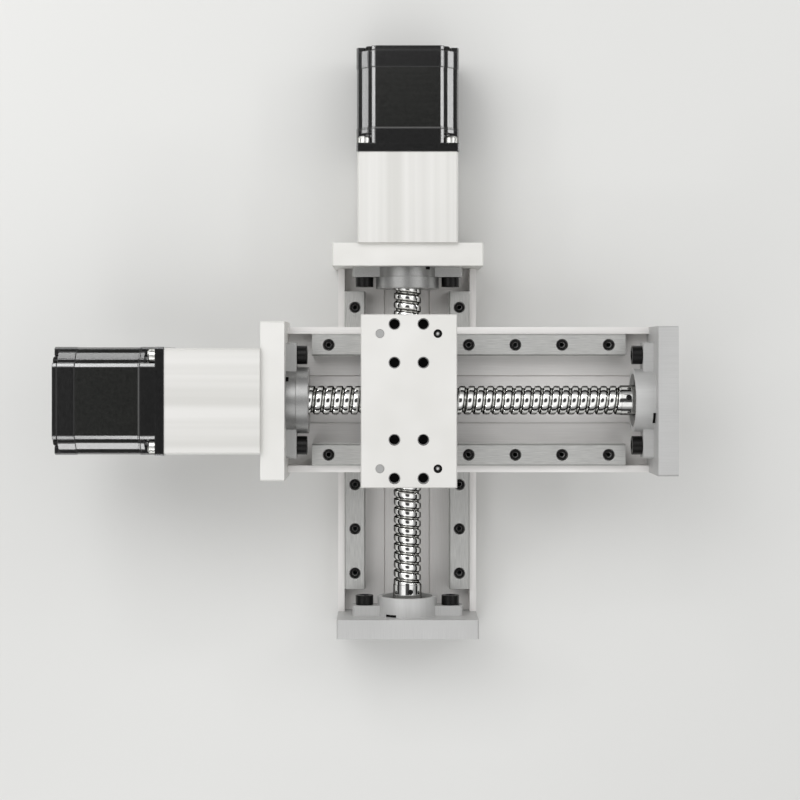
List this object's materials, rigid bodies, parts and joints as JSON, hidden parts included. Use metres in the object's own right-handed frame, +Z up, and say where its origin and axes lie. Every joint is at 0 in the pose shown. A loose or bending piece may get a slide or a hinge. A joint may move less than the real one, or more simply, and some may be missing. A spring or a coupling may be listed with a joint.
{
  "type": "ball screw linear module, two-axis stack",
  "caption": "Two crossed ball screw linear modules stacked as an XY stage, each with guide rails, a travelling table, bearing blocks, a coupling housing and a stepper motor.",
  "frame": {"origin": "centre of the four mounting holes in the lower channel's underside, on its foot face", "axes": "+Z up, away from the foot face; +Y along the lower screw towards the lower motor; +X along the upper screw away from the upper motor"},
  "size_m": [0.3247, 0.3247, 0.1132],
  "materials": {
    "silver_anodised": "bead blasted, silver anodised",
    "clear_anodised": "machined, clear anodised",
    "rail_steel": "ground",
    "housing_steel": "turned and milled",
    "bearing_steel": "ground and polished",
    "screw_steel": "rolled and polished thread",
    "black_oxide": "black oxide",
    "zinc_plate": "zinc plated",
    "motor_black": "gloss black paint",
    "dark_nylon": "moulded",
    "white_nylon": "moulded",
    "red_rubber": "moulded"
  },
  "bodies": {
    "base": {"lower_channel": "clear_anodised", "lower_rails": "rail_steel", "lower_rail_screws": "black_oxide", "lower_motor_plate": "silver_anodised", "lower_far_plate": "clear_anodised", "lower_end_plate_screws": "black_oxide", "lower_fixed_bearing_housing": "housing_steel", "lower_support_bearing_housing": "clear_anodised", "lower_bearing_housing_screws": "black_oxide", "lower_bearing_outer_rings": "bearing_steel", "lower_coupling_housing": "silver_anodised", "lower_motor_front_cap": "motor_black", "lower_motor_stator": "motor_black", "lower_motor_rear_cap": "motor_black", "lower_motor_screws": "zinc_plate", "lower_motor_connector": "white_nylon"},
    "lower_screw_body": {"lower_bearing_inner_rings": "bearing_steel", "lower_locking_rings": "bearing_steel", "lower_ball_screw": "screw_steel", "lower_coupling_hubs": "clear_anodised", "lower_coupling_spider": "red_rubber", "lower_motor_rotor": "bearing_steel"},
    "lower_carriage": {"lower_ball_nut": "housing_steel", "lower_nut_screws": "black_oxide", "lower_slider_block": "clear_anodised", "lower_slider_end_caps": "dark_nylon", "lower_slider_balls": "bearing_steel", "lower_table": "silver_anodised", "lower_table_pins": "bearing_steel", "upper_channel": "clear_anodised", "upper_rails": "rail_steel", "upper_rail_screws": "black_oxide", "upper_motor_plate": "silver_anodised", "upper_far_plate": "clear_anodised", "upper_end_plate_screws": "black_oxide", "upper_fixed_bearing_housing": "housing_steel", "upper_support_bearing_housing": "clear_anodised", "upper_bearing_housing_screws": "black_oxide", "upper_bearing_outer_rings": "bearing_steel", "upper_coupling_housing": "silver_anodised", "upper_motor_front_cap": "motor_black", "upper_motor_stator": "motor_black", "upper_motor_rear_cap": "motor_black", "upper_motor_screws": "zinc_plate", "upper_motor_connector": "white_nylon", "stacking_screws": "black_oxide"},
    "upper_screw_body": {"upper_bearing_inner_rings": "bearing_steel", "upper_locking_rings": "bearing_steel", "upper_ball_screw": "screw_steel", "upper_coupling_hubs": "clear_anodised", "upper_coupling_spider": "red_rubber", "upper_motor_rotor": "bearing_steel"},
    "upper_carriage": {"upper_ball_nut": "housing_steel", "upper_nut_screws": "black_oxide", "upper_slider_block": "clear_anodised", "upper_slider_end_caps": "dark_nylon", "upper_slider_balls": "bearing_steel", "upper_table": "silver_anodised", "upper_table_pins": "bearing_steel"}
  },
  "joints": [
    {"name": "lower_slide", "type": "slide", "parent": "base", "child": "lower_carriage", "axis": [0, 1, 0], "range_m": [-0.074, 0.026]},
    {"name": "lower_spin", "type": "hinge", "parent": "base", "child": "lower_screw_body", "pos_m": [0, 0, 0.03], "axis": [0, 1, 0], "range_deg": [-5329, 1873]},
    {"name": "upper_slide", "type": "slide", "parent": "lower_carriage", "child": "upper_carriage", "axis": [1, 0, 0], "range_m": [-0.0176, 0.0824]},
    {"name": "upper_spin", "type": "hinge", "parent": "lower_carriage", "child": "upper_screw_body", "pos_m": [0.0324, 0.024, 0.085], "axis": [1, 0, 0], "range_deg": [-1268, 5934]}
  ],
  "couplings": [
    {"joint": "lower_spin", "follows": "lower_slide", "rad_per_m": 1256.6},
    {"joint": "upper_spin", "follows": "upper_slide", "rad_per_m": 1256.6}
  ]
}
